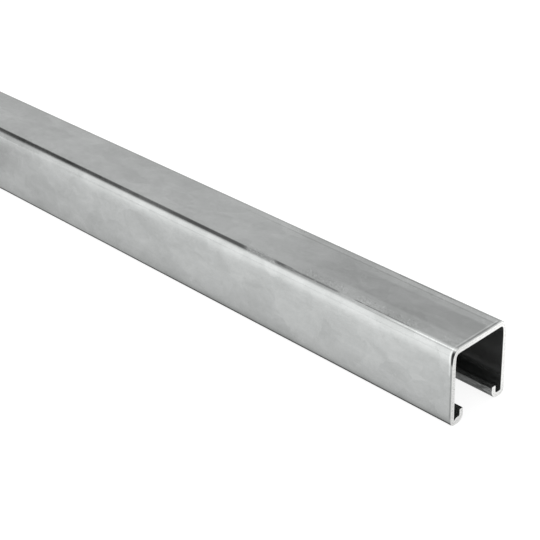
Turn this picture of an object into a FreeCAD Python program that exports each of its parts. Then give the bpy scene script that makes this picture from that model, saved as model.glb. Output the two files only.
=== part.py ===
"""Strut channel, 1-5/8 in x 1-5/8 in, 12 gauge, plain (unpunched) back, one pre-cut 2 ft length.

One strip of galvanized steel, roll-formed to a C section: a web, two flanges, and two lips
that turn inwards and back up into the channel. The piece lies as it is stored, web up, on the
bottoms of its two lips, with the long slot facing down.

Frame: millimetres. +X runs along the length, +Y across the width, +Z up from the lips to the web.
The origin is at the centre of the bottom of the bounding box, midway along the length.
"""

import FreeCAD
import Part

import math
import os

import Sketcher

# ---------------------------------------------------------------- driving dimensions
DIMENSIONS = [
    # alias, value, what it is
    ("channel_length", 609.6, "pre-cut 2 ft length"),
    ("channel_width", 41.275, "outside width, 1-5/8 in"),
    ("channel_height", 41.275, "outside height, 1-5/8 in"),
    ("wall", 2.667, "12 gauge strip with its zinc, 0.105 in"),
    ("web_bend", 4.8, "outer radius of the two bends beside the web"),
    ("lip_width", 9.525, "flange face to slot edge, 3/8 in"),
    ("lip_height", 7.144, "bottom of the lip to its free edge, 9/32 in"),
    ("heel_bend", 3.2, "outer radius of the bend from flange to lip"),
    ("toe_bend", 4.2, "outer radius of the bend that turns the lip up"),
    ("edge_round", 0.6, "rounding of the strip's slit edge along the lip"),
]

doc = FreeCAD.newDocument("strut_channel")
sheet = doc.addObject("Spreadsheet::Sheet", "dims")
for row, (alias, value, note) in enumerate(DIMENSIONS, start=1):
    sheet.set("A%d" % row, note)
    sheet.set("B%d" % row, repr(value))
    sheet.setAlias("B%d" % row, alias)
doc.recompute()
D = {alias: float(sheet.get(alias)) for alias, _, _ in DIMENSIONS}

# ---------------------------------------------------------------- the body
body = doc.addObject("PartDesign::Body", "strut_channel")
body.Label = "strut_channel"


def origin_plane(role):
    for feature in body.Origin.OriginFeatures:
        if feature.Role == role:
            return feature
    raise RuntimeError("no origin plane " + role)


# The section is drawn on the YZ plane: sketch x is the part's Y, sketch y is the part's Z.
section = body.newObject("Sketcher::SketchObject", "half_section")
section.AttachmentSupport = [(origin_plane("YZ_Plane"), "")]
section.MapMode = "FlatFace"
doc.recompute()

half = D["channel_width"] / 2
height = D["channel_height"]
wall = D["wall"]
web_out = D["web_bend"]
web_in = web_out - wall
heel_out = D["heel_bend"]
heel_in = heel_out - wall
toe_out = D["toe_bend"]
toe_in = toe_out - wall
lip_w = D["lip_width"]
lip_h = D["lip_height"]
edge = D["edge_round"]

web_c = (half - web_out, height - web_out)
heel_c = (half - heel_out, heel_out)
toe_c = (half - lip_w + toe_out, toe_out)
edge_outer_c = (half - lip_w + edge, lip_h - edge)
edge_inner_c = (half - lip_w + wall - edge, lip_h - edge)


def vec(point):
    return FreeCAD.Vector(point[0], point[1], 0)


def line(start, end):
    return section.addGeometry(Part.LineSegment(vec(start), vec(end)), False)


def arc(centre, radius, low, high):
    """Counter-clockwise arc from angle low to angle high, in degrees."""
    circle = Part.Circle(vec(centre), FreeCAD.Vector(0, 0, 1), radius)
    return section.addGeometry(
        Part.ArcOfCircle(circle, math.radians(low), math.radians(high)), False
    )


# Half of the section (the +Y side), walked clockwise along the outside from the middle of the
# web, over the lip's free edge, and back along the inside.
g_web_top = line((0, height), (web_c[0], height))
g_web_out = arc(web_c, web_out, 0, 90)
g_flange_out = line((half, web_c[1]), (half, heel_c[1]))
g_heel_out = arc(heel_c, heel_out, 270, 360)
g_lip_bottom = line((heel_c[0], 0), (toe_c[0], 0))
g_toe_out = arc(toe_c, toe_out, 180, 270)
g_slot_side = line((half - lip_w, toe_c[1]), (half - lip_w, edge_outer_c[1]))
g_edge_out = arc(edge_outer_c, edge, 90, 180)
g_lip_edge = line((edge_outer_c[0], lip_h), (edge_inner_c[0], lip_h))
g_edge_in = arc(edge_inner_c, edge, 0, 90)
g_pocket_side = line((half - lip_w + wall, edge_inner_c[1]), (half - lip_w + wall, toe_c[1]))
g_toe_in = arc(toe_c, toe_in, 180, 270)
g_pocket_floor = line((toe_c[0], wall), (heel_c[0], wall))
g_heel_in = arc(heel_c, heel_in, 270, 360)
g_flange_in = line((half - wall, heel_c[1]), (half - wall, web_c[1]))
g_web_in = arc(web_c, web_in, 0, 90)
g_web_under = line((web_c[0], height - wall), (0, height - wall))
g_middle = line((0, height - wall), (0, height))


def constrain(kind, *values):
    return section.addConstraint(Sketcher.Constraint(kind, *values))


def drive(kind, name, formula, *values):
    """A dimension that takes its value from the sheet."""
    index = constrain(kind, *values)
    section.renameConstraint(index, name)
    section.setExpression("Constraints." + name, formula)
    return index


# Every straight run meets its bend without a kink. Arc end 1 is at its low angle, end 2 at its high.
for first, first_end, second, second_end in [
    (g_web_top, 2, g_web_out, 2),
    (g_web_out, 1, g_flange_out, 1),
    (g_flange_out, 2, g_heel_out, 2),
    (g_heel_out, 1, g_lip_bottom, 1),
    (g_lip_bottom, 2, g_toe_out, 2),
    (g_toe_out, 1, g_slot_side, 1),
    (g_slot_side, 2, g_edge_out, 2),
    (g_edge_out, 1, g_lip_edge, 1),
    (g_lip_edge, 2, g_edge_in, 2),
    (g_edge_in, 1, g_pocket_side, 1),
    (g_pocket_side, 2, g_toe_in, 1),
    (g_toe_in, 2, g_pocket_floor, 1),
    (g_pocket_floor, 2, g_heel_in, 1),
    (g_heel_in, 2, g_flange_in, 1),
    (g_flange_in, 2, g_web_in, 1),
    (g_web_in, 2, g_web_under, 1),
]:
    constrain("Tangent", first, first_end, second, second_end)
constrain("Coincident", g_web_under, 2, g_middle, 1)
constrain("Coincident", g_middle, 2, g_web_top, 1)

for g in (g_web_top, g_web_under, g_lip_bottom, g_lip_edge, g_pocket_floor):
    constrain("Horizontal", g)
for g in (g_middle, g_flange_out, g_slot_side, g_pocket_side):
    constrain("Vertical", g)
constrain("PointOnObject", g_middle, 1, -2)  # the middle line lies on the vertical axis
constrain("PointOnObject", g_lip_bottom, 1, -1)  # the lip rests on the horizontal axis

# Inside and outside of a bend share their centre.
constrain("Coincident", g_web_in, 3, g_web_out, 3)
constrain("Coincident", g_heel_in, 3, g_heel_out, 3)
constrain("Coincident", g_toe_in, 3, g_toe_out, 3)

drive("Radius", "web_bend_outer", "dims.web_bend", g_web_out, web_out)
drive("Radius", "web_bend_inner", "dims.web_bend - dims.wall", g_web_in, web_in)
drive("Radius", "heel_bend_outer", "dims.heel_bend", g_heel_out, heel_out)
drive("Radius", "toe_bend_outer", "dims.toe_bend", g_toe_out, toe_out)
drive("Radius", "toe_bend_inner", "dims.toe_bend - dims.wall", g_toe_in, toe_in)
drive("Radius", "edge_outer", "dims.edge_round", g_edge_out, edge)
drive("Radius", "edge_inner", "dims.edge_round", g_edge_in, edge)
drive("DistanceX", "half_width", "dims.channel_width / 2", -1, 1, g_flange_out, 1, half)
drive("DistanceY", "full_height", "dims.channel_height", -1, 1, g_web_top, 1, height)
drive(
    "DistanceX",
    "slot_edge",
    "dims.channel_width / 2 - dims.lip_width",
    -1,
    1,
    g_slot_side,
    2,
    half - lip_w,
)
drive("DistanceY", "free_edge", "dims.lip_height", -1, 1, g_lip_edge, 1, lip_h)
doc.recompute()

# ---------------------------------------------------------------- roll it out to length
pad = body.newObject("PartDesign::Pad", "half_channel")
pad.Profile = section
pad.Midplane = True
pad.setExpression("Length", "dims.channel_length")
doc.recompute()
half_volume = pad.Shape.Volume

mirrored = body.newObject("PartDesign::Mirrored", "both_sides")
mirrored.Originals = [pad]
mirrored.MirrorPlane = (origin_plane("XZ_Plane"), [""])
mirrored.Refine = True
body.Tip = mirrored
doc.recompute()

# ---------------------------------------------------------------- checks
for obj in doc.Objects:
    if "Invalid" in obj.State or "Error" in obj.State:
        raise RuntimeError("%s did not recompute: %s" % (obj.Name, obj.State))
if section.solve() != 0:
    raise RuntimeError("the section's constraints don't solve")
shape = body.Shape
if shape.isNull() or not shape.isValid():
    raise RuntimeError("the channel's shape isn't valid")
if len(shape.Solids) != 1:
    raise RuntimeError("the channel isn't one solid")
if abs(shape.Volume - 2 * half_volume) > 1e-3 * shape.Volume:
    raise RuntimeError("the mirrored half doesn't add up")

box = shape.BoundBox
print("section fully constrained:", section.FullyConstrained)
print(
    "box %.3f..%.3f  %.3f..%.3f  %.3f..%.3f mm"
    % (box.XMin, box.XMax, box.YMin, box.YMax, box.ZMin, box.ZMax)
)
print("section area %.2f mm2" % (shape.Volume / D["channel_length"]))
print("mass at 7850 kg/m3 %.4f kg" % (shape.Volume * 7.85e-6))
print("faces", len(shape.Faces))

# ---------------------------------------------------------------- hand over
os.makedirs("parts", exist_ok=True)
for piece in [body]:
    piece.Shape.exportStep("parts/%s.step" % piece.Label)
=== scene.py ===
"""Looks of one length of galvanized strut channel, lying web up on a pale studio floor.

The formed strip is one mesh that stands for the CAD node: the same section and length, with
the soft bends, the faint waviness and the worked-over cut ends that roll-forming and shearing leave.
All sizes are in metres.
"""

import math

import bpy
import numpy as np
from mathutils import Matrix, Vector


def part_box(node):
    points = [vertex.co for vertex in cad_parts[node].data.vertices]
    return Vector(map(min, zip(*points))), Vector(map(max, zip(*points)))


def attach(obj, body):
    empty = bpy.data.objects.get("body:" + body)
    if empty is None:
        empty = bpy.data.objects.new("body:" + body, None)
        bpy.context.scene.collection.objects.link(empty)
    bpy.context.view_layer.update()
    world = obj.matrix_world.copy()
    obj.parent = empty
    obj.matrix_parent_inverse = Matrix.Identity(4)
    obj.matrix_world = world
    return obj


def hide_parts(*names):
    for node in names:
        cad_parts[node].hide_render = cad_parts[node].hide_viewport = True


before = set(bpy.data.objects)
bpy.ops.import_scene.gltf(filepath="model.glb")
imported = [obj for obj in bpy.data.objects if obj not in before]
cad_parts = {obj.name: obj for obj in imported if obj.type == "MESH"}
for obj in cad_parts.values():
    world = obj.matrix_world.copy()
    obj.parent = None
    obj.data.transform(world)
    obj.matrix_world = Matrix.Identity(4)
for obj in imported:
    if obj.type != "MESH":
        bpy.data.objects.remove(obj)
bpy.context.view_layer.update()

# ------------------------------------------------------------------ sizes, as in the CAD model
node_low, node_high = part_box("strut_channel")
LENGTH = node_high.x - node_low.x
WIDTH = node_high.y - node_low.y
HEIGHT = node_high.z - node_low.z
WALL = 0.002667
LIP_WIDTH = 0.009525
LIP_HEIGHT = 0.007144
HEEL_BEND = 0.0032
TOE_BEND = 0.0042
EDGE_ROUND = 0.0006
BURR = 0.0012  # what the shear pushed into the near lip's bends, at the cut
CUT_LEAN = 0.040  # the shear left the near end out of square: its web stops 1.65 mm short of its lips


# ------------------------------------------------------------------ the section
def spread(start, stop, step):
    """Points from start to stop, both included, about step apart."""
    count = max(1, int(round(abs(stop - start) / step)))
    return list(np.linspace(start, stop, count + 1))


def soft_corner():
    """The bend from web to flange as the rolls leave it: an even arc that runs out slowly down
    the flange. Offsets from its start on the web, with the angle turned."""
    step = 0.00002
    radius, tail = 0.0048, 0.0065
    arc = radius * math.radians(80)
    s = np.arange(0, arc + tail + step / 2, step)
    left = np.clip(1 - (s - arc) / tail, 0, 1)
    turn = np.where(s < arc, np.degrees(s / radius), 90 - 10 * left**2)
    angle = np.radians(turn)
    middle = (angle[1:] + angle[:-1]) / 2
    y = np.concatenate([[0], np.cumsum(np.cos(middle) * step)])
    z = np.concatenate([[0], -np.cumsum(np.sin(middle) * step)])
    wanted = np.concatenate(
        [[0, 0.0001, 0.0003], np.linspace(0.0006, arc, 20)[:-1], np.linspace(arc, s[-1], 10)]
    )
    return [
        (np.array([np.interp(w, s, y), np.interp(w, s, z)]), math.radians(np.interp(w, s, turn)))
        for w in wanted
    ]


def half_section():
    """The +Y half of the strip, from the middle of the web to the lip's free edge: a list of
    (outer point, outward normal)."""
    half = WIDTH / 2
    points = []

    def straight(start, stop, normal, step):
        start, stop = np.array(start), np.array(stop)
        for share in np.linspace(0, 1, max(2, int(round(np.linalg.norm(stop - start) / step)) + 1)):
            points.append((start + (stop - start) * share, np.array(normal, float)))

    def bend(centre, radius, first, last, count):
        for angle in np.radians(np.linspace(first, last, count + 1)):
            normal = np.array([math.cos(angle), math.sin(angle)])
            points.append((np.array(centre) + radius * normal, normal))

    corner = soft_corner()
    reach, drop = corner[-1][0]
    begin = np.array([half - reach, HEIGHT])
    straight((0, HEIGHT), begin, (0, 1), 0.0013)
    for offset, angle in corner:
        points.append((begin + offset, np.array([math.sin(angle), math.cos(angle)])))
    straight((half, HEIGHT + drop), (half, HEEL_BEND), (1, 0), 0.0013)
    bend((half - HEEL_BEND, HEEL_BEND), HEEL_BEND, 0, -90, 16)
    straight((half - HEEL_BEND, 0), (half - LIP_WIDTH + TOE_BEND, 0), (0, -1), 0.0005)
    bend((half - LIP_WIDTH + TOE_BEND, TOE_BEND), TOE_BEND, -90, -180, 16)
    slot = half - LIP_WIDTH
    straight((slot, TOE_BEND), (slot, LIP_HEIGHT - EDGE_ROUND), (-1, 0), 0.0009)
    for left in EDGE_ROUND * np.array([0.75, 0.5, 0.3, 0.14, 0.04, 0.0]):
        points.append((np.array([slot, LIP_HEIGHT - left]), np.array([-1.0, 0.0])))

    kept = []
    for point, normal in points:  # the ends of neighbouring runs are one point
        if kept and np.linalg.norm(point - kept[-1][0]) < 1e-6:
            continue
        kept.append((point, normal))
    return kept


def ladder():
    """Outer and inner points of the whole strip, free edge to free edge, and each pair's path
    length from the middle of the web."""
    side = half_section()
    path = [0.0]
    for (a, _), (b, _) in zip(side, side[1:]):
        path.append(path[-1] + float(np.linalg.norm(b - a)))
    top = side[-1][0][1]
    outer, inner = [], []
    for point, normal in side:
        left = top - point[1]
        cut = 0.0
        if normal[0] < -0.999 and left < EDGE_ROUND:
            cut = EDGE_ROUND - math.sqrt(max(0.0, EDGE_ROUND**2 - (EDGE_ROUND - left) ** 2))
        outer.append(point - normal * cut)
        inner.append(point - normal * (WALL - cut))
    flip = np.array([-1.0, 1.0])
    outer = [p * flip for p in outer[:0:-1]] + outer
    inner = [p * flip for p in inner[:0:-1]] + inner
    path = [-s for s in path[:0:-1]] + path
    return np.array(outer), np.array(inner), np.array(path)


def waves(x, s):
    """Inward offset of the strip at distance x along the piece and s along its section: a faint
    unevenness left by the rolls. It never leaves the CAD section."""
    value = (
        0.42 * np.sin(2 * math.pi * (x / 0.212 + 0.13) + 19 * s)
        + 0.30 * np.sin(2 * math.pi * (x / 0.097 + 0.41) - 31 * s + 0.7)
        + 0.18 * np.sin(2 * math.pi * (x / 0.051 + 0.77) + 83 * s)
        + 0.10 * np.sin(2 * math.pi * (x / 0.0243 + 0.29) - 140 * s + 2.1)
    )
    return 0.000022 * (1 + value)


def build_strip():
    outer, inner, path = ladder()
    count = len(outer)
    columns = 5
    shares = np.arange(1, columns) / columns
    end_edge = outer[-1] + (inner[-1] - outer[-1]) * shares[:, None]
    start_edge = (outer[0] + (inner[0] - outer[0]) * shares[:, None])[::-1]
    # once round the outline: outside, free edge, inside, the other free edge
    loop = np.vstack([outer, end_edge, inner[::-1], start_edge])
    along = np.concatenate(
        [path, np.full(columns - 1, path[-1]), path[::-1], np.full(columns - 1, path[0])]
    )
    ring = len(loop)
    index = np.arange(ring)
    is_outer = index < count
    across = outer - inner  # the strip's own offset direction, the same for both its faces
    across /= np.linalg.norm(across, axis=1)[:, None]
    across = np.vstack(
        [across, np.repeat(across[-1:], columns - 1, 0), across[::-1], np.repeat(across[:1], columns - 1, 0)]
    )
    tangent = np.roll(loop, -1, 0) - np.roll(loop, 1, 0)
    tangent /= np.linalg.norm(tangent, axis=1)[:, None]
    outward = np.stack([-tangent[:, 1], tangent[:, 0]], 1)
    if np.sum(outward[: count] * across[: count]) < 0:
        outward = -outward

    round_out, round_in = 0.00022, 0.00018
    # how far shearing has rolled the outer edge down, along the section, and where on the near
    # end its burr thickens the strip inside the lip's bends
    spot = np.abs(along)
    rolled = np.interp(spot, [0.0, 0.0150, 0.0185, 0.0200, 0.0240, 0.0275], [0.10, 0.10, 0.22, 0.52, 0.42, 0.08])
    reach = np.interp(spot, [0.0, 0.0150, 0.0195, 0.0240, 0.0275], [0.8, 0.8, 1.5, 1.3, 0.8])
    burr = np.interp(along - along.min(), [0.0035, 0.0062, 0.0104, 0.0120], [0.0, 0.8, 1.0, 0.0])
    near_end = [0.0, 0.00002, 0.00007, 0.00015, 0.0003, 0.0005, 0.0008, 0.0011, 0.0015, 0.0020, 0.0026]
    body = spread(0.0026, LENGTH - 0.0026, 0.0038)
    stations = near_end[:-1] + body + [LENGTH - e for e in reversed(near_end[:-1])]

    rows = []
    for place in stations:
        edge = min(place, LENGTH - place)
        inset = np.zeros(ring)
        for radius, chosen in ((round_out, is_outer), (round_in, ~is_outer)):
            if edge < radius:
                inset[chosen] = radius - math.sqrt(max(0.0, radius**2 - (radius - edge) ** 2))
        roll_off = 0.001 * rolled * np.maximum(0.0, 1 - edge / (0.001 * reach)) ** 1.6
        inset[is_outer] += roll_off[is_outer]
        if LENGTH - place < 0.0015:
            inset[~is_outer] -= (BURR * burr * (1 - (LENGTH - place) / 0.0015))[~is_outer]
        shift = waves(node_low.x + place, along)
        yz = loop - outward * inset[:, None] - across * shift[:, None]
        lean = CUT_LEAN * max(0.0, 1 - (LENGTH - place) / 0.06)
        rows.append(np.column_stack([node_low.x + place - lean * yz[:, 1], yz]))
    rows = np.array(rows)

    faces, mats, uvs = [], [], []
    total = len(stations)
    girth = np.concatenate([[0], np.cumsum(np.linalg.norm(np.diff(loop, axis=0), axis=1))])
    for i in range(total - 1):
        worked = min(stations[i], LENGTH - stations[i + 1]) < 0.00006
        for j in range(ring):
            k = (j + 1) % ring
            a, b = i * ring + j, i * ring + k
            faces.append((a, b, b + ring, a + ring))
            mats.append(1 if worked else 0)
            g0 = girth[j]
            g1 = girth[j + 1] if j + 1 < ring else girth[-1] + WALL / columns
            x0, x1 = stations[i], stations[i + 1]
            uvs.append(((x0, g0), (x0, g1), (x1, g1), (x1, g0)))

    # the two cut faces, in columns across the wall, very slightly hollow as a shear leaves them
    extra = []
    base = total * ring
    for row, sign in ((0, -1), (total - 1, 1)):
        spot = row * ring
        first = rows[row][:count]
        last = rows[row][count + columns - 1 : 2 * count + columns - 1][::-1]
        grid = [[spot + j for j in range(count)]]
        for c in range(1, columns):
            line = first + (last - first) * (c / columns)
            line[:, 0] -= sign * 0.00006 * math.sin(math.pi * c / columns)
            start = base + len(extra)
            extra.extend(line[1:-1].tolist())
            grid.append(
                [spot + 2 * count + 2 * (columns - 1) - c]
                + list(range(start, start + count - 2))
                + [spot + count + c - 1]
            )
        grid.append([spot + 2 * count + columns - 2 - j for j in range(count)])
        for c in range(columns):
            for j in range(count - 1):
                quad = (grid[c][j], grid[c][j + 1], grid[c + 1][j + 1], grid[c + 1][j])
                faces.append(quad)
                mats.append(1)
                u0, u1 = 1.0 + WALL * c / columns, 1.0 + WALL * (c + 1) / columns
                v0, v1 = float(path[j]), float(path[j + 1])
                uvs.append(((u0, v0), (u0, v1), (u1, v1), (u1, v0)))
    verts = np.vstack([rows.reshape(-1, 3), np.array(extra)])

    mesh = bpy.data.meshes.new("formed_channel")
    mesh.from_pydata(verts.tolist(), [], faces)
    layer = mesh.uv_layers.new(name="strip")
    flat = np.array([corner for face in uvs for corner in face], np.float32)
    layer.data.foreach_set("uv", flat.ravel())
    mesh.polygons.foreach_set("material_index", np.array(mats, np.int32))
    mesh.polygons.foreach_set("use_smooth", np.ones(len(faces), bool))
    mesh.update()
    if mesh.validate(verbose=False):
        raise RuntimeError("the strip's mesh had faults")
    obj = bpy.data.objects.new("formed_channel", mesh)
    bpy.context.scene.collection.objects.link(obj)
    return obj


def face_outwards(obj):
    """Turns every face outwards and says whether the mesh is closed."""
    import bmesh

    bm = bmesh.new()
    bm.from_mesh(obj.data)
    bmesh.ops.recalc_face_normals(bm, faces=bm.faces)
    if bm.calc_volume(signed=True) < 0:
        bmesh.ops.reverse_faces(bm, faces=bm.faces)
    open_edges = [e for e in bm.edges if len(e.link_faces) != 2]
    volume = bm.calc_volume()
    bm.to_mesh(obj.data)
    bm.free()
    obj.data.update()
    if open_edges:
        raise RuntimeError("the strip's mesh is open")
    return volume


# ------------------------------------------------------------------ node helpers
class Nodes:
    """Short names for building a node tree."""

    def __init__(self, tree):
        self.tree = tree
        self.tree.nodes.clear()

    def add(self, kind, inputs=None, **settings):
        node = self.tree.nodes.new(kind)
        for key, value in settings.items():
            setattr(node, key, value)
        for key, value in (inputs or {}).items():
            self.feed(node.inputs[key], value)
        return node

    def feed(self, socket, value):
        if isinstance(value, bpy.types.NodeSocket):
            self.tree.links.new(value, socket)
        else:
            socket.default_value = value

    def math(self, operation, a, b=0.0, c=0.0, clamp=False):
        node = self.add("ShaderNodeMath", operation=operation, use_clamp=clamp)
        for index, value in enumerate((a, b, c)):
            self.feed(node.inputs[index], value)
        return node.outputs[0]

    def remap(self, value, low, high, to_low=0.0, to_high=1.0, smooth=True):
        node = self.add(
            "ShaderNodeMapRange",
            interpolation_type="SMOOTHSTEP" if smooth else "LINEAR",
            clamp=True,
        )
        self.feed(node.inputs["Value"], value)
        node.inputs["From Min"].default_value = low
        node.inputs["From Max"].default_value = high
        node.inputs["To Min"].default_value = to_low
        node.inputs["To Max"].default_value = to_high
        return node.outputs["Result"]

    def mixed(self, share, low, high):
        """low where share is 0, high where it is 1."""
        node = self.add("ShaderNodeMix", data_type="FLOAT", clamp_factor=True)
        self.feed(node.inputs[0], share)
        self.feed(node.inputs[2], low)
        self.feed(node.inputs[3], high)
        return node.outputs[0]

    def noise(self, vector, scale, detail=2.0, rough=0.5, distortion=0.0):
        node = self.add("ShaderNodeTexNoise", noise_dimensions="3D")
        self.feed(node.inputs["Vector"], vector)
        node.inputs["Scale"].default_value = scale
        node.inputs["Detail"].default_value = detail
        node.inputs["Roughness"].default_value = rough
        node.inputs["Distortion"].default_value = distortion
        return node.outputs["Fac"]

    def stretch(self, vector, scale, move=(0, 0, 0)):
        node = self.add("ShaderNodeMapping")
        self.feed(node.inputs["Vector"], vector)
        node.inputs["Location"].default_value = move
        node.inputs["Scale"].default_value = scale
        return node.outputs["Vector"]

    def tint(self, share, low, high):
        node = self.add("ShaderNodeMix", data_type="RGBA")
        self.feed(node.inputs[0], share)
        self.feed(node.inputs[6], (*low, 1.0))
        self.feed(node.inputs[7], (*high, 1.0))
        return node.outputs[2]


def outline():
    """The outer girth of the strip, and the path from the web's middle to the start of its bend."""
    side = half_section()
    girth = sum(float(np.linalg.norm(b - a)) for (a, _), (b, _) in zip(side, side[1:]))
    return 2 * girth, WIDTH / 2 - soft_corner()[-1][0][0]


def galvanized():
    mat = bpy.data.materials.new("mill_galvanized")
    mat.use_nodes = True
    n = Nodes(mat.node_tree)
    strip = n.add("ShaderNodeUVMap", uv_map="strip").outputs["UV"]
    split = n.add("ShaderNodeSeparateXYZ", {"Vector": strip}).outputs
    along, girth = split["X"], split["Y"]
    outer_girth, bend_start = outline()

    def line(value, centre, half_width):
        """1 on a thin line, 0 off it."""
        off = n.math("ABSOLUTE", n.math("SUBTRACT", value, centre))
        return n.remap(off, 0.0, half_width, 1.0, 0.0)

    def window(value, start, stop, soft):
        return n.math(
            "MULTIPLY",
            n.remap(value, start - soft, start + soft),
            n.remap(value, stop - soft, stop + soft, 1.0, 0.0),
        )

    def product(*values):
        total = values[0]
        for value in values[1:]:
            total = n.math("MULTIPLY", total, value)
        return total

    # clouds of brighter and duller zinc, the finer mottle in them and the rolling direction's streaks
    clouds = n.noise(n.stretch(strip, (1.0, 1.9, 1.0)), 38, 4, 0.58, 0.6)
    patches = n.noise(n.stretch(strip, (0.8, 1.0, 1.0), (3.1, 0, 0)), 120, 3, 0.6, 0.8)
    mottle = n.noise(n.stretch(strip, (1.0, 1.0, 1.0), (0, 5.7, 0)), 420, 3, 0.62, 0.5)
    streaks = n.noise(n.stretch(strip, (9.0, 650.0, 1.0)), 1.0, 3, 0.55)
    grain = n.noise(strip, 1500, 3, 0.65)

    bent = n.add("ShaderNodeVectorMath", {0: patches, "Scale": 0.009}, operation="SCALE").outputs["Vector"]
    bent = n.add("ShaderNodeVectorMath", {0: strip, 1: bent}, operation="ADD").outputs["Vector"]
    cells = n.add("ShaderNodeTexVoronoi", {"Vector": n.stretch(bent, (62.0, 95.0, 1.0))}, feature="F1")
    cells.inputs["Scale"].default_value = 1.0
    cell = n.add("ShaderNodeSeparateXYZ", {"Vector": cells.outputs["Color"]}).outputs["X"]
    tone = n.math("ADD", product(clouds, 0.40), product(patches, 0.27))
    tone = n.math("ADD", tone, product(cell, 0.10))
    tone = n.math("ADD", tone, product(mottle, 0.13))
    tone = n.math("ADD", tone, product(streaks, 0.07))
    colour = n.tint(n.remap(tone, 0.37, 0.63, smooth=False), (0.412, 0.423, 0.418), (0.513, 0.524, 0.520))
    fine = n.remap(grain, 0.3, 0.7, 0.962, 1.038, smooth=False)

    # fine long scuffs, sparse and slightly off the rolling direction
    scuffs = n.noise(n.stretch(strip, (38.0, 1500.0, 1.0), (7.7, 0, 0)), 1.0, 2, 0.5, 0.3)
    scuffs = product(n.remap(scuffs, 0.66, 0.74), n.remap(patches, 0.45, 0.6))

    # where the web turns into the bend: dark and bright lines painted to stand for the bend's reflections (the broad
    # dark run partly a mark of the rolls as well), beside real rubbed and scratched wear
    path = n.math("SUBTRACT", girth, outer_girth / 2)
    on_outer = n.remap(girth, outer_girth + 0.0002, outer_girth + 0.0004, 1.0, 0.0)
    past = n.math("SUBTRACT", n.math("ABSOLUTE", path), bend_start)
    end = n.math("SUBTRACT", LENGTH, along)

    def run(start, stop, soft):
        """A length of the piece, as distances from its near cut."""
        return window(end, stop, start, soft)

    breaks = n.remap(n.noise(n.stretch(strip, (130.0, 420.0, 1.0), (1.3, 0, 0)), 1.0, 3, 0.7), 0.36, 0.46)
    gaps = n.remap(n.noise(n.stretch(strip, (240.0, 0.0, 1.0), (9.1, 0, 0)), 1.0, 3, 0.7), 0.40, 0.52)
    slant = n.math("ADD", end, n.math("MULTIPLY", past, 1.3))
    wide = window(past, 0.0004, 0.0024, 0.00045)
    # partly a mark of the rolls, partly painted reflection: the dark line that the near bend reflects, carried on
    # towards the near cut
    roll_mark_and_dark_reflection = n.math("MAXIMUM",
        product(wide, n.remap(slant, 0.1378, 0.1425), n.remap(end, 0.17, 0.23, 1.0, 0.0), 0.62),
        n.math("MAXIMUM",
            product(window(past, 0.0002, 0.0019, 0.0004), window(slant, 0.1065, 0.1185, 0.0022), n.mixed(breaks, 0.45, 1.0), 0.62),
            product(window(past, 0.0007, 0.0016, 0.0003), window(slant, 0.0760, 0.1065, 0.0022), n.mixed(breaks, 0.35, 1.0), 0.46)))
    near_side = n.remap(path, -0.005, 0.005, 1.0, 0.0)
    roll_mark_and_dark_reflection = product(roll_mark_and_dark_reflection, on_outer, near_side)
    # two thin dark lines along the bend near the near cut: painted reflection in the colour, and a slight groove in
    # the bump
    groove_and_dark_reflection_a = product(line(past, 0.00105, 0.00042), n.mixed(gaps, 0.55, 1.0), run(0.064, 0.028, 0.002), on_outer)
    groove_and_dark_reflection_b = product(line(past, 0.00280, 0.00026), run(0.062, 0.0015, 0.001), on_outer)
    # painted highlight: a bright line along the bend, stronger towards the near cut
    rise = n.remap(end, 0.030, 0.056, 1.0, 0.0)
    painted_highlight_line = product(line(past, 0.00205, 0.00055), rise, n.mixed(gaps, 0.55, 1.0), on_outer)
    rubbed = n.math("MAXIMUM",
        product(run(0.141, 0.116, 0.003), window(past, -0.0012, 0.0024, 0.0005)),
        n.math("MAXIMUM",
            product(run(0.101, 0.070, 0.004), window(past, -0.0050, 0.0005, 0.0014), 0.7),
            n.math("MAXIMUM",
                product(run(0.064, 0.027, 0.004), window(past, -0.0042, 0.0008, 0.0010), 0.8),
                product(run(0.012, 0.001, 0.002), window(past, -0.0060, 0.0004, 0.0014), 0.6))))
    rubbed = product(rubbed, on_outer, n.mixed(near_side, 0.4, 1.0))
    turned = n.add("ShaderNodeMapping", {"Vector": strip})
    turned.inputs["Rotation"].default_value = (0, 0, math.radians(50))
    scratch = n.noise(n.stretch(turned.outputs["Vector"], (330.0, 760.0, 1.0)), 1.0, 3, 0.7, 1.4)
    dark_scratch = product(n.remap(scratch, 0.56, 0.66), rubbed)
    light_scratch = product(n.remap(scratch, 0.36, 0.44, 1.0, 0.0), rubbed)

    # lighter on the outside beside each bend, from 7 mm before the bend's start into the bend, fading out between 62
    # and 90 mm from the near cut
    lighter_by_bend = product(window(past, -0.0072, 0.0012, 0.0012), n.remap(end, 0.062, 0.090, 1.0, 0.0), on_outer)
    far_side = n.math("SUBTRACT", 1.0, near_side)
    # painted shade and sheen along the far bend: a dark line on the web 2.7 mm before the bend, within 130 to 190 mm
    # of the near cut, and a lighter band round the bend's start, fading out by 220 mm
    far_shade_line = product(line(past, -0.00270, 0.00065), far_side, n.remap(end, 0.19, 0.13), n.mixed(gaps, 0.5, 1.0), on_outer)
    far_sheen_band = product(window(past, -0.0020, 0.0040, 0.0005), far_side, n.remap(end, 0.02, 0.22, 1.0, 0.0), on_outer)

    # painted light round the near cut: a thin dark line and a light line on the web that stand for the sheared
    # edge's reflections, and at the near corner a score painted dark as the rolled-down edge's dark reflection, with
    # a highlight rim and a dark line down the flange's edge
    edge = end
    on_web = n.remap(n.math("ABSOLUTE", path), bend_start - 0.0008, bend_start + 0.0010, 1.0, 0.0)
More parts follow.
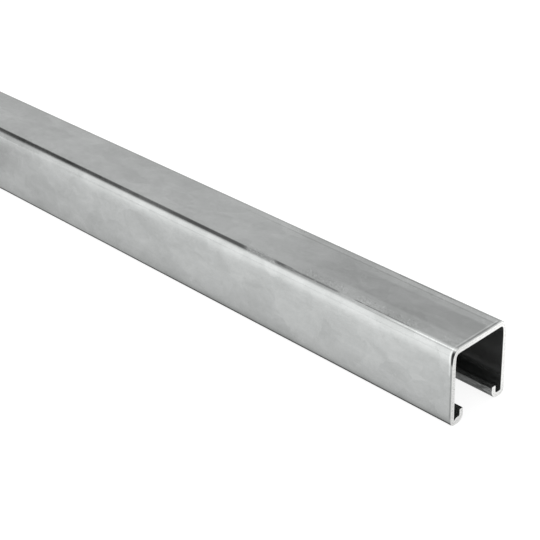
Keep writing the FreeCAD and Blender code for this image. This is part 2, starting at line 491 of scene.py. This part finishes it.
    # painted reflection: a thin dark line 1 mm from the near cut, and a painted highlight line 2.1 mm from it,
    # across the web
    edge_dark_reflection = product(line(edge, 0.0010, 0.0007), on_web, on_outer, 0.34)
    edge_highlight = product(line(edge, 0.0021, 0.0007), on_web, on_outer)
    down = n.math("SUBTRACT", n.math("MULTIPLY", path, -1.0), bend_start)
    # partly a score, partly painted dark reflection of the rolled-down edge at the near corner; it also roughens the
    # surface
    reach = n.remap(down, 0.0030, 0.0100, 0.0015, 0.0010, smooth=False)
    score_and_dark_reflection = product(
        n.remap(edge, 0.00006, 0.00016),
        n.remap(n.math("SUBTRACT", edge, reach), -0.0003, 0.0002, 1.0, 0.0),
        window(down, 0.0028, 0.0102, 0.0014),
        on_outer,
    )
    # painted highlight: a bright rim just past the dark corner mark
    rim_off = n.math("ABSOLUTE", n.math("SUBTRACT", n.math("SUBTRACT", edge, reach), 0.0006))
    rim_highlight = product(n.remap(rim_off, 0.0, 0.0006, 1.0, 0.0), window(down, 0.0010, 0.0160, 0.0016), on_outer)
    # painted dark reflection: a thin dark line along the rolled edge down the near flange, continuing the corner
    # mark
    tail = product(line(edge, 0.0006, 0.00075), window(down, 0.0105, 0.039, 0.002), on_outer, n.remap(down, 0.012, 0.020, 0.46, 0.36))

    shade = n.math("SUBTRACT", 1.0, product(groove_and_dark_reflection_a, 0.62))
    shade = product(shade, n.math("SUBTRACT", 1.0, roll_mark_and_dark_reflection))
    shade = product(shade, n.math("SUBTRACT", 1.0, product(groove_and_dark_reflection_b, 0.20)))
    shade = product(shade, n.math("SUBTRACT", 1.0, product(dark_scratch, 0.30)))
    shade = product(shade, n.math("SUBTRACT", 1.0, edge_dark_reflection))
    shade = product(shade, n.math("SUBTRACT", 1.0, product(score_and_dark_reflection, 0.93)))
    shade = product(shade, n.math("SUBTRACT", 1.0, tail))
    shade = product(shade, n.math("SUBTRACT", 1.0, product(scuffs, 0.10)))
    shade = product(shade, n.math("SUBTRACT", 1.0, product(far_shade_line, 0.17)))
    lift = n.math("ADD", 1.0, product(painted_highlight_line, 0.62))
    lift = n.math("ADD", lift, product(light_scratch, 0.33))
    lift = n.math("ADD", lift, product(edge_highlight, 0.38))
    lift = n.math("ADD", lift, product(rim_highlight, 0.30))
    lift = n.math("ADD", lift, product(lighter_by_bend, 0.17))
    lift = n.math("ADD", lift, product(far_sheen_band, 0.16))
    # the lips' uprights, handled and scraped by nuts: blotchy, with painted light making them brighter towards the
    # ends, where light comes in at the open ends, and darker towards the toe bend
    lips = n.remap(n.math("ABSOLUTE", path), outer_girth / 2 - 0.0046, outer_girth / 2 - 0.0040)
    blotch = n.noise(n.stretch(strip, (170.0, 900.0, 1.0), (0, 2.9, 0)), 1.0, 4, 0.72, 0.4)
    wear_and_end_light = n.remap(blotch, 0.36, 0.64, 0.62, 1.40, smooth=False)
    # painted light: within 12 mm of either end the blotches' lighter half is brightened
    close = n.remap(n.math("MINIMUM", end, along), 0.002, 0.012, 1.0, 0.0)
    wear_and_end_light = product(wear_and_end_light, n.mixed(product(close, n.remap(blotch, 0.46, 0.54)), 1.0, 1.9))
    wear_and_end_light = product(wear_and_end_light, n.remap(n.math("ABSOLUTE", path), outer_girth / 2 - 0.0042, outer_girth / 2 - 0.0028, 0.75, 1.0))
    lift = product(lift, n.mixed(product(lips, on_outer), 1.0, wear_and_end_light))
    shade = product(shade, lift, fine)
    scaled = n.add("ShaderNodeVectorMath", {0: colour}, operation="SCALE")
    n.feed(scaled.inputs["Scale"], shade)

    rough = n.math("ADD", product(clouds, 0.09), product(streaks, 0.05))
    rough = n.math("ADD", rough, product(mottle, 0.05))
    rough = n.math("ADD", rough, product(grain, 0.03))
    rough = n.math("ADD", rough, product(n.math("MAXIMUM", rubbed, score_and_dark_reflection), 0.08))
    rough = n.math("ADD", rough, 0.075)

    height = n.math("ADD", product(streaks, 0.10), product(grain, 0.13))
    height = n.math("ADD", height, product(patches, 0.75))
    height = n.math("ADD", height, product(mottle, 0.10))
    height = n.math("ADD", height, product(scratch, rubbed, 0.35))
    height = n.math("SUBTRACT", height, product(scuffs, 0.15))
    height = n.math("SUBTRACT", height, product(n.math("MAXIMUM", groove_and_dark_reflection_a, groove_and_dark_reflection_b), 0.20))
    bump = n.add("ShaderNodeBump", {"Height": height})
    bump.inputs["Strength"].default_value = 0.28
    bump.inputs["Distance"].default_value = 0.00006

    shader = n.add("ShaderNodeBsdfPrincipled")
    n.feed(shader.inputs["Base Color"], scaled.outputs["Vector"])
    # the inside is duller than the outside: a little of what it sends back is scattered evenly
    n.feed(shader.inputs["Metallic"], n.mixed(n.math("MAXIMUM", on_outer, n.remap(girth, outer_girth * 2 - 0.0002, outer_girth * 2)), 0.962, 1.0))
    n.feed(shader.inputs["Roughness"], rough)
    n.feed(shader.inputs["Normal"], bump.outputs["Normal"])
    out = n.add("ShaderNodeOutputMaterial")
    n.tree.links.new(shader.outputs["BSDF"], out.inputs["Surface"])
    return mat


def cut_steel():
    mat = bpy.data.materials.new("sheared_steel")
    mat.use_nodes = True
    n = Nodes(mat.node_tree)
    strip = n.add("ShaderNodeUVMap", uv_map="strip").outputs["UV"]
    lines = n.noise(n.stretch(strip, (300.0, 3200.0, 1.0)), 1.0, 3, 0.6)
    blotch = n.noise(strip, 900, 3, 0.6)
    tone = n.math("ADD", n.math("MULTIPLY", lines, 0.5), n.math("MULTIPLY", blotch, 0.5))
    colour = n.tint(n.remap(tone, 0.35, 0.65, smooth=False), (0.64, 0.64, 0.63), (0.90, 0.90, 0.89))
    # the broken line where the blade's smooth cut ends and the torn part begins
    across = n.add("ShaderNodeSeparateXYZ", {"Vector": strip}).outputs["X"]
    wander = n.noise(n.stretch(strip, (0.0, 240.0, 1.0), (0, 4.4, 0)), 1.0, 3, 0.6)
    torn = n.math("ABSOLUTE", n.math("SUBTRACT", n.math("SUBTRACT", across, 1.00085), n.math("MULTIPLY", wander, 0.0006)))
    torn = n.math("MULTIPLY", n.remap(torn, 0.0, 0.00026, 1.0, 0.0), n.remap(n.noise(n.stretch(strip, (0.0, 900.0, 1.0)), 1.0, 2), 0.42, 0.56))
    dimmed = n.add("ShaderNodeVectorMath", {0: colour}, operation="SCALE")
    n.feed(dimmed.inputs["Scale"], n.math("SUBTRACT", 1.0, n.math("MULTIPLY", torn, 0.50)))
    colour = dimmed.outputs["Vector"]
    bump = n.add("ShaderNodeBump", {"Height": tone})
    bump.inputs["Strength"].default_value = 0.5
    bump.inputs["Distance"].default_value = 0.00008
    shader = n.add("ShaderNodeBsdfPrincipled")
    n.feed(shader.inputs["Base Color"], colour)
    shader.inputs["Metallic"].default_value = 1.0
    n.feed(shader.inputs["Roughness"], n.remap(blotch, 0.3, 0.7, 0.24, 0.38))
    n.feed(shader.inputs["Normal"], bump.outputs["Normal"])
    out = n.add("ShaderNodeOutputMaterial")
    n.tree.links.new(shader.outputs["BSDF"], out.inputs["Surface"])
    return mat


channel = build_strip()
volume = face_outwards(channel)
channel.data.materials.append(galvanized())
channel.data.materials.append(cut_steel())
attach(channel, "root")
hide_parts("strut_channel")


# ------------------------------------------------------------------ floor
def floor():
    mesh = bpy.data.meshes.new("floor")
    size = 12.0
    mesh.from_pydata(
        [(-size, -size, 0), (size, -size, 0), (size, size, 0), (-size, size, 0)], [], [(0, 1, 2, 3)]
    )
    obj = bpy.data.objects.new("floor", mesh)
    bpy.context.scene.collection.objects.link(obj)
    mat = bpy.data.materials.new("pale_floor")
    mat.use_nodes = True
    shader = mat.node_tree.nodes["Principled BSDF"]
    shader.inputs["Base Color"].default_value = (0.24, 0.24, 0.24, 1)
    shader.inputs["Roughness"].default_value = 0.9
    shader.inputs["Specular IOR Level"].default_value = 0.0
    shader.inputs["Emission Color"].default_value = (1, 1, 1, 1)
    shader.inputs["Emission Strength"].default_value = 0.88
    mesh.materials.append(mat)
    obj.location.z = -0.00002
    return obj


floor()


# ------------------------------------------------------------------ studio light
def studio():
    """A pale surround: a grey back wall, a dark strip above it on the left, and a broad soft light
    that runs from overhead down to the front."""
    world = bpy.data.worlds.new("studio")
    bpy.context.scene.world = world
    world.use_nodes = True
    n = Nodes(world.node_tree)
    direction = n.add("ShaderNodeTexCoord").outputs["Generated"]
    split = n.add("ShaderNodeSeparateXYZ", {"Vector": direction}).outputs
    x = split["X"]
    # angle round the X axis, in degrees: 0 at the back horizon, 90 overhead, 180 at the front
    around = n.math("DEGREES", n.math("ARCTAN2", split["Z"], split["Y"]))

    back = n.remap(x, -0.612, -0.572, BACK_LEFT, BACK_RIGHT)
    back = n.math("MULTIPLY", back, n.remap(x, -0.655, -0.625, 0.925, 1.0))
    back = n.mixed(n.remap(around, 12, 33), n.math("MULTIPLY", back, 0.68), back)
    back = n.mixed(n.remap(x, -0.44, -0.30), back, 1.25)
    gap = n.remap(x, -0.685, -0.640, GAP_LEFT, GAP_MIDDLE)
    gap = n.mixed(n.remap(x, -0.83, -0.77), 0.60, gap)
    bright = n.remap(around, 60, 86, 0.70, GAP_RIGHT)
    gap = n.mixed(n.remap(x, -0.575, -0.525), gap, bright)
    front = n.remap(x, -0.79, -0.71, FRONT_LEFT, FRONT_RIGHT)
    front = n.mixed(n.remap(x, -0.35, 0.05), front, 0.95)
    level = n.mixed(n.remap(around, 50, 58), back, gap)
    level = n.mixed(n.remap(around, 98, 136), level, front)
    level = n.mixed(n.remap(x, 0.05, 0.40), level, 0.82)

    backdrop = n.add("ShaderNodeLightPath").outputs["Is Camera Ray"]
    level = n.mixed(backdrop, level, 1.0)
    shade = n.add("ShaderNodeBackground")
    shade.inputs["Color"].default_value = (1, 1, 1, 1)
    n.feed(shade.inputs["Strength"], level)
    out = n.add("ShaderNodeOutputWorld")
    n.tree.links.new(shade.outputs[0], out.inputs["Surface"])
    world.cycles.sampling_method = "MANUAL"
    world.cycles.sample_map_resolution = 1024


BACK_LEFT, BACK_RIGHT = 0.90, 0.63
GAP_LEFT, GAP_MIDDLE, GAP_RIGHT = 0.04, 0.62, 1.40
FRONT_LEFT, FRONT_RIGHT = 0.45, 1.62
studio()


def ground_card():
    """A glowing card, seen only in reflections, that paints the ground's shade and light for the metal: dark inside
    the slot and under the lips, paler with the distance from the piece. The camera and the light don't see it."""
    mesh = bpy.data.meshes.new("ground_card")
    x0, x1, y0, y1 = node_low.x - 1.2, node_high.x + 1.2, -1.5, 1.5
    mesh.from_pydata([(x0, y0, 0), (x1, y0, 0), (x1, y1, 0), (x0, y1, 0)], [], [(0, 1, 2, 3)])
    obj = bpy.data.objects.new("ground_card", mesh)
    obj.location.z = 0.00005
    bpy.context.scene.collection.objects.link(obj)
    mat = bpy.data.materials.new("ground_card")
    mat.use_nodes = True
    n = Nodes(mat.node_tree)
    place = n.add("ShaderNodeTexCoord").outputs["Object"]
    split = n.add("ShaderNodeSeparateXYZ", {"Vector": place}).outputs
    x, y = split["X"], split["Y"]
    off = n.math("ABSOLUTE", y)
    ripple = n.noise(n.stretch(place, (26.0, 60.0, 1.0)), 1.0, 3, 0.6, 0.6)
    off = n.math("ADD", off, n.math("MULTIPLY", n.math("SUBTRACT", ripple, 0.5), n.remap(off, 0.030, 0.060, 0.0, 0.018)))
    # painted shade: dark inside the slot, paler towards the far lip, and dark under the lips and flanges
    slot = n.mixed(n.remap(y, 0.0010, 0.0045), SLOT_DARK, SLOT_PALE)
    hidden = n.mixed(n.remap(y, -0.002, 0.002), 0.05, 0.20)
    under = n.mixed(n.remap(off, 0.0105, 0.0115), slot, hidden)
    past = n.remap(n.math("ABSOLUTE", x), LENGTH / 2 - 0.0008, LENGTH / 2 + 0.0008)
    under = n.mixed(past, under, 0.90)
    close = n.remap(x, 0.02, 0.15, 0.74, 0.54)
    level = n.mixed(n.remap(off, 0.0200, 0.0225), under, close)
    for start, stop, to in (
        (0.0225, 0.0264, 0.835),
        (0.0264, 0.0330, 0.95),
        (0.0330, 0.0440, 1.03),
        (0.0500, 0.0680, 1.17),
        (0.0680, 0.1000, 1.52),
        (0.1000, 0.2500, 1.76),
    ):
        level = n.mixed(n.remap(off, start, stop, smooth=False), level, to)
    level = n.math("MULTIPLY", level, n.remap(x, -0.10, 0.24, 0.86, 1.03, smooth=False))
    level = n.math("MULTIPLY", level, n.remap(x, -0.090, -0.052, 0.82, 1.0))
    level = n.mixed(n.remap(y, 0.16, 0.26), level, 0.58)
    # beyond the near cut: painted shade and light for the cut face, a duller ground seen from its near side than
    # from its far side
    beyond = n.math("SUBTRACT", x, LENGTH / 2)
    side = n.math("SUBTRACT", y, beyond)
    outside = n.remap(side, -0.020, -0.010, OPEN, 0.92, smooth=False)
    outside = n.mixed(n.remap(side, -0.010, 0.009, smooth=False), outside, 1.12)
    behind = n.remap(beyond, 0.0085, 0.0130, 1.18, OPEN_BEHIND)
    behind = n.mixed(n.remap(beyond, 0.0015, 0.0050), 0.98, behind)
    outside = n.mixed(n.remap(side, 0.009, 0.018, smooth=False), outside, behind)
    spot = n.math("MULTIPLY", n.remap(beyond, -0.0008, 0.0008), n.remap(beyond, 0.060, 0.110, 1.0, 0.0))
    spot = n.math("MULTIPLY", spot, n.remap(y, -0.024, -0.018))
    spot = n.math("MULTIPLY", spot, n.remap(y, 0.080, 0.130, 1.0, 0.0))
    spot = n.math("MULTIPLY", spot, n.remap(side, 0.026, 0.040, 1.0, 0.0))
    level = n.mixed(spot, level, outside)
    shade = n.add("ShaderNodeEmission")
    n.feed(shade.inputs["Strength"], level)
    out = n.add("ShaderNodeOutputMaterial")
    n.tree.links.new(shade.outputs[0], out.inputs["Surface"])
    mesh.materials.append(mat)
    obj.visible_camera = False
    obj.visible_shadow = False
    obj.visible_diffuse = False
    obj.visible_transmission = False


# the card's painted shade inside the slot, and its painted light on the open ground beyond the near cut
SLOT_DARK, SLOT_PALE = 0.003, 0.19
OPEN, OPEN_BEHIND = 0.84, 1.32
ground_card()


# ------------------------------------------------------------------ camera, at the photograph's angle
def camera():
    turn, rise, roll = math.radians(44.772), math.radians(29.809), math.radians(-0.136)
    data = bpy.data.cameras.new("camera")
    data.sensor_fit = "HORIZONTAL"
    data.sensor_width = 36.0
    data.lens = 1411.727 * 36.0 / 540.0
    data.clip_start, data.clip_end = 0.01, 60
    obj = bpy.data.objects.new("camera", data)
    bpy.context.scene.collection.objects.link(obj)
    back = Vector(
        (math.sin(turn) * math.cos(rise), -math.cos(turn) * math.cos(rise), math.sin(rise))
    )
    right = Vector((0, 0, 1)).cross(back).normalized()
    up = back.cross(right)
    tilted_right = math.cos(roll) * right + math.sin(roll) * up
    tilted_up = -math.sin(roll) * right + math.cos(roll) * up
    spin = Matrix((tilted_right, tilted_up, back)).transposed()
    place = Vector((node_high.x - CUT_LEAN * HEIGHT + 0.317034, -0.457024, 0.389668))
    obj.matrix_world = Matrix.Translation(place) @ spin.to_4x4()
    bpy.context.scene.camera = obj


camera()
bpy.context.scene.view_settings.view_transform = "Standard"
bpy.context.scene.view_settings.look = "None"
